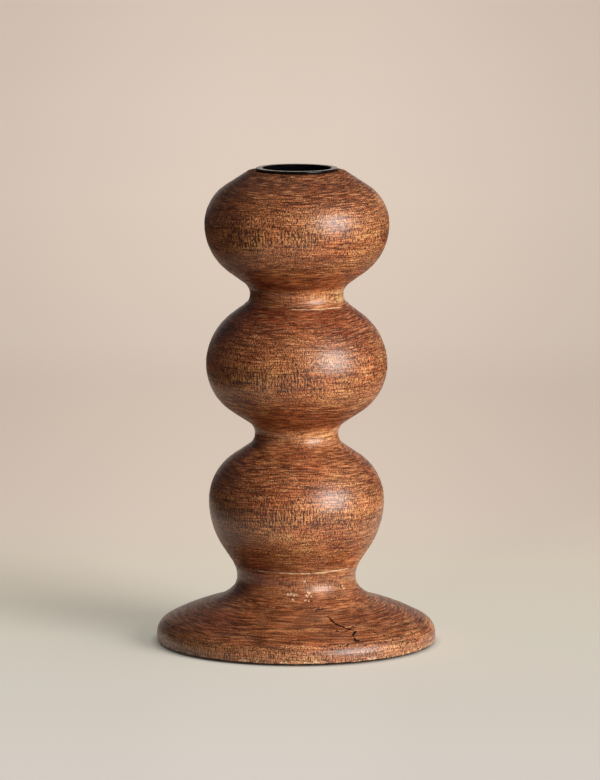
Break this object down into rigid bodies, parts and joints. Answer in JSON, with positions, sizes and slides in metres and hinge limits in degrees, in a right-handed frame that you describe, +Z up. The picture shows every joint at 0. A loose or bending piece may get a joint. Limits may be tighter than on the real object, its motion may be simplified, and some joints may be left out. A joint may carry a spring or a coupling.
{
  "type": "candle stand",
  "caption": "Turned wooden candle stand: stacked round bobbins on a saucer foot, with a drop-in metal candle cup that holds a short spike.",
  "frame": {"origin": "centre of the felt's underside, on the turning axis", "axes": "+Z up along the turning axis, towards the candle; X and Y are alike, because the stand is round"},
  "size_m": [0.1028, 0.1028, 0.175],
  "materials": {
    "turned_wood": "mid-brown stain, rubbed satin",
    "beech": "bare",
    "zinc_steel": "zinc plated",
    "felt": "pressed felt",
    "black_enamel": "gloss black",
    "spike_steel": "dark, polished"
  },
  "bodies": {
    "stand": {"foot": "turned_wood", "lower_bobbin": "turned_wood", "middle_bobbin": "turned_wood", "upper_bobbin": "turned_wood", "middle_dowel": "beech", "upper_dowel": "beech", "foot_screw": "zinc_steel", "screw_washer": "zinc_steel", "felt_disc": "felt"},
    "cup": {"candle_cup": "black_enamel", "pricket": "spike_steel"}
  },
  "joints": [
    {"name": "cup_lift", "type": "slide", "parent": "stand", "child": "cup", "axis": [0, 0, 1], "range_m": [0, 0.03]}
  ]
}
